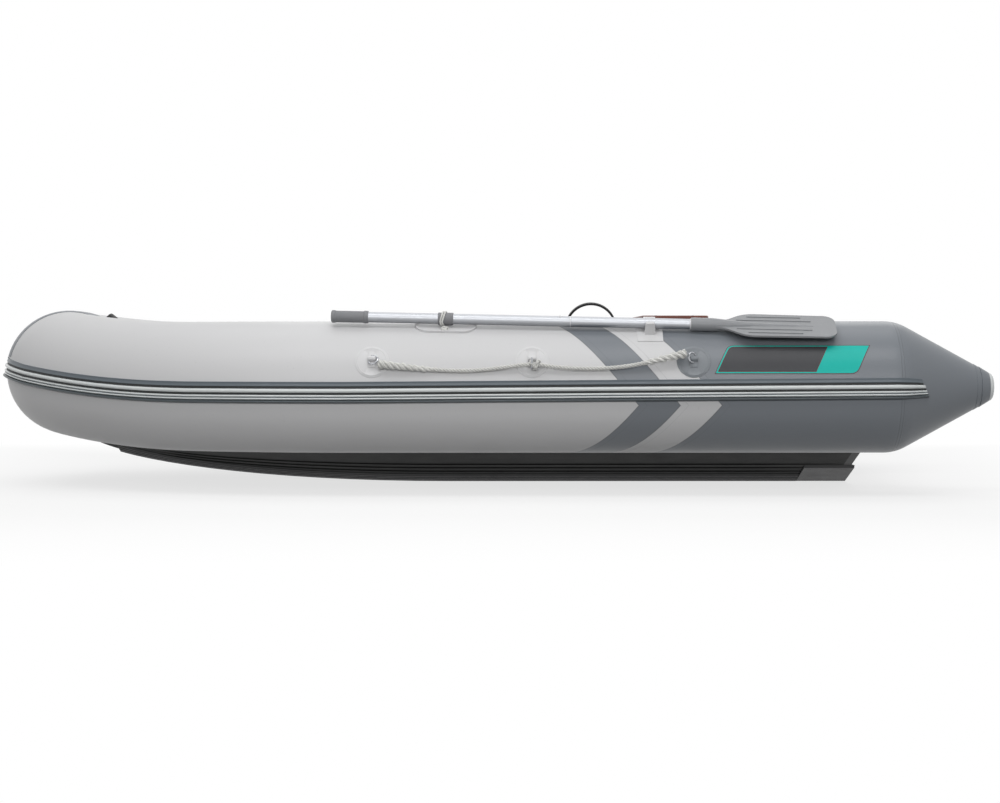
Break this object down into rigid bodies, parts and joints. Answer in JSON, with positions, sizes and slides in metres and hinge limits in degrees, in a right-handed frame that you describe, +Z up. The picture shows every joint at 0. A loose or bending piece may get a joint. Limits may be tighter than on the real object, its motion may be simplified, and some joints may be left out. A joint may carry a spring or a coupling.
{
  "type": "inflatable motor boat",
  "caption": "Inflatable boat with grey tubes, a soft V bottom, plywood transom, sliding benches, stowed oars, lifelines and a beaded rub rail.",
  "frame": {"origin": "on the centreline at mid-length, at the waterline", "axes": "+X to the bow, +Y to port, +Z up"},
  "size_m": [3.3005, 1.6722, 0.6349],
  "materials": {
    "tube_fabric": "light grey coated PVC fabric",
    "stern_fabric": "dark grey coated PVC fabric",
    "bottom_fabric": "near black heavy PVC fabric",
    "rail_rubber": "grey extruded rub rail",
    "black_rubber": "black moulded rubber",
    "grey_rubber": "grey moulded PVC patch",
    "plywood": "varnished marine plywood",
    "aluminium_plate": "ribbed aluminium plate",
    "oar_tube": "anodised tube",
    "oar_plastic": "moulded grey plastic",
    "steel": "polished stainless steel",
    "rope": "white three-strand rope",
    "webbing": "black ribbed webbing"
  },
  "bodies": {
    "hull": {"air_valves": "black_rubber", "bench_tracks": "grey_rubber", "bottom_hull": "bottom_fabric", "bow_handle": "webbing", "carry_handles": "webbing", "cone_caps": "rail_rubber", "cone_port": "stern_fabric", "cone_starboard": "stern_fabric", "drain_valve": "black_rubber", "floor_joiners": "aluminium_plate", "floor_panel_1": "aluminium_plate", "floor_panel_2": "aluminium_plate", "floor_panel_3": "aluminium_plate", "floor_panel_4": "aluminium_plate", "floor_stringers": "aluminium_plate", "keel_end_cap": "black_rubber", "keel_guard": "black_rubber", "lifeline_patches": "grey_rubber", "lifeline_port": "rope", "lifeline_rings": "steel", "lifeline_starboard": "rope", "motor_pad_inner": "black_rubber", "motor_pad_outer": "black_rubber", "nose_band": "stern_fabric", "oar_clip_pads": "grey_rubber", "oar_clip_prong_port": "grey_rubber", "oar_clip_prong_starboard": "grey_rubber", "rowlock_pads": "grey_rubber", "rowlock_pins": "steel", "rub_rail": "rail_rubber", "towing_eyes": "steel", "transom": "plywood", "transom_holders": "stern_fabric", "tube_bow": "tube_fabric", "tube_port": "tube_fabric", "tube_starboard": "tube_fabric"},
    "oar_port": {"oar_port_blade": "oar_plastic", "oar_port_collar": "oar_plastic", "oar_port_grip": "oar_plastic", "oar_port_shaft": "oar_tube"},
    "oar_starboard": {"oar_starboard_blade": "oar_plastic", "oar_starboard_collar": "oar_plastic", "oar_starboard_grip": "oar_plastic", "oar_starboard_shaft": "oar_tube"},
    "bench_front": {"bench_front": "plywood", "bench_front_runners": "oar_plastic"},
    "bench_aft": {"bench_aft": "plywood", "bench_aft_runners": "oar_plastic"}
  },
  "joints": [
    {"name": "oar_port_swing", "type": "hinge", "parent": "hull", "child": "oar_port", "pos_m": [0.0935, 0.7, 0.453], "axis": [0.006, -0.4542, -0.8909], "range_deg": [0, 100], "deforming": ["oar_clip_prong_port"]},
    {"name": "oar_starboard_swing", "type": "hinge", "parent": "hull", "child": "oar_starboard", "pos_m": [0.0935, -0.7, 0.453], "axis": [-0.006, -0.4542, 0.8909], "range_deg": [0, 100], "deforming": ["oar_clip_prong_starboard"]},
    {"name": "bench_front_slide", "type": "slide", "parent": "hull", "child": "bench_front", "axis": [1, 0, 0], "range_m": [-0.25, 0.04]},
    {"name": "bench_aft_slide", "type": "slide", "parent": "hull", "child": "bench_aft", "axis": [1, 0, 0], "range_m": [-0.3, 0.015]}
  ]
}
